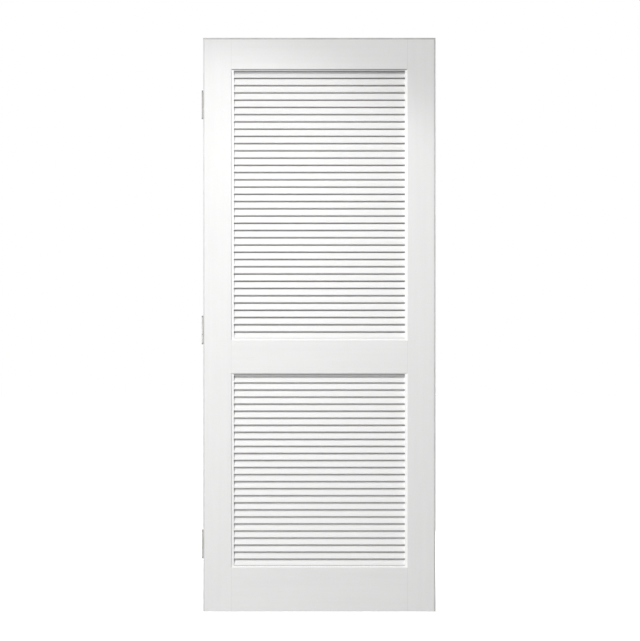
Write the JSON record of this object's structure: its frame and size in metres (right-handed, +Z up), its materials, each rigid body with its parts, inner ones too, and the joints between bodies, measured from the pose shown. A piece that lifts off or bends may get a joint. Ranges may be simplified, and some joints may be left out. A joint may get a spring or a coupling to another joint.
{
  "type": "louvred interior door leaf",
  "caption": "White painted stile-and-rail door leaf with two panels of fixed louvre slats, swinging on three butt hinges.",
  "frame": {"origin": "middle of the flat back of the lowest jamb hinge leaf, where it meets the door frame", "axes": "+Z up the leaf, +X from the hinge edge to the lock edge, +Y from the front face to the back face, the side it swings to"},
  "size_m": [0.8329, 0.0475, 2.04],
  "materials": {
    "frame_paint": "satin white paint",
    "slat_paint": "satin white paint",
    "hinge_steel": "satin",
    "pin_steel": "satin"
  },
  "bodies": {
    "hinges_on_frame": {"jamb_hinge_leaf_bottom": "hinge_steel", "jamb_hinge_leaf_middle": "hinge_steel", "jamb_hinge_leaf_top": "hinge_steel", "hinge_pin_bottom": "pin_steel", "hinge_pin_middle": "pin_steel", "hinge_pin_top": "pin_steel"},
    "door": {"hinge_stile": "frame_paint", "lock_stile": "frame_paint", "top_rail": "frame_paint", "lock_rail": "frame_paint", "bottom_rail": "frame_paint", "upper_slats_1": "slat_paint", "upper_slats_2": "slat_paint", "upper_slats_3": "slat_paint", "upper_slats_4": "slat_paint", "upper_slats_5": "slat_paint", "upper_slats_6": "slat_paint", "lower_slats_1": "slat_paint", "lower_slats_2": "slat_paint", "lower_slats_3": "slat_paint", "lower_slats_4": "slat_paint", "lower_slats_5": "slat_paint", "door_hinge_leaf_bottom": "hinge_steel", "door_hinge_leaf_middle": "hinge_steel", "door_hinge_leaf_top": "hinge_steel"}
  },
  "joints": [
    {"name": "door_swing", "type": "hinge", "parent": "hinges_on_frame", "child": "door", "pos_m": [0.0037, 0.02187, 0.783], "axis": [0, 0, 1], "range_deg": [0, 180]}
  ]
}
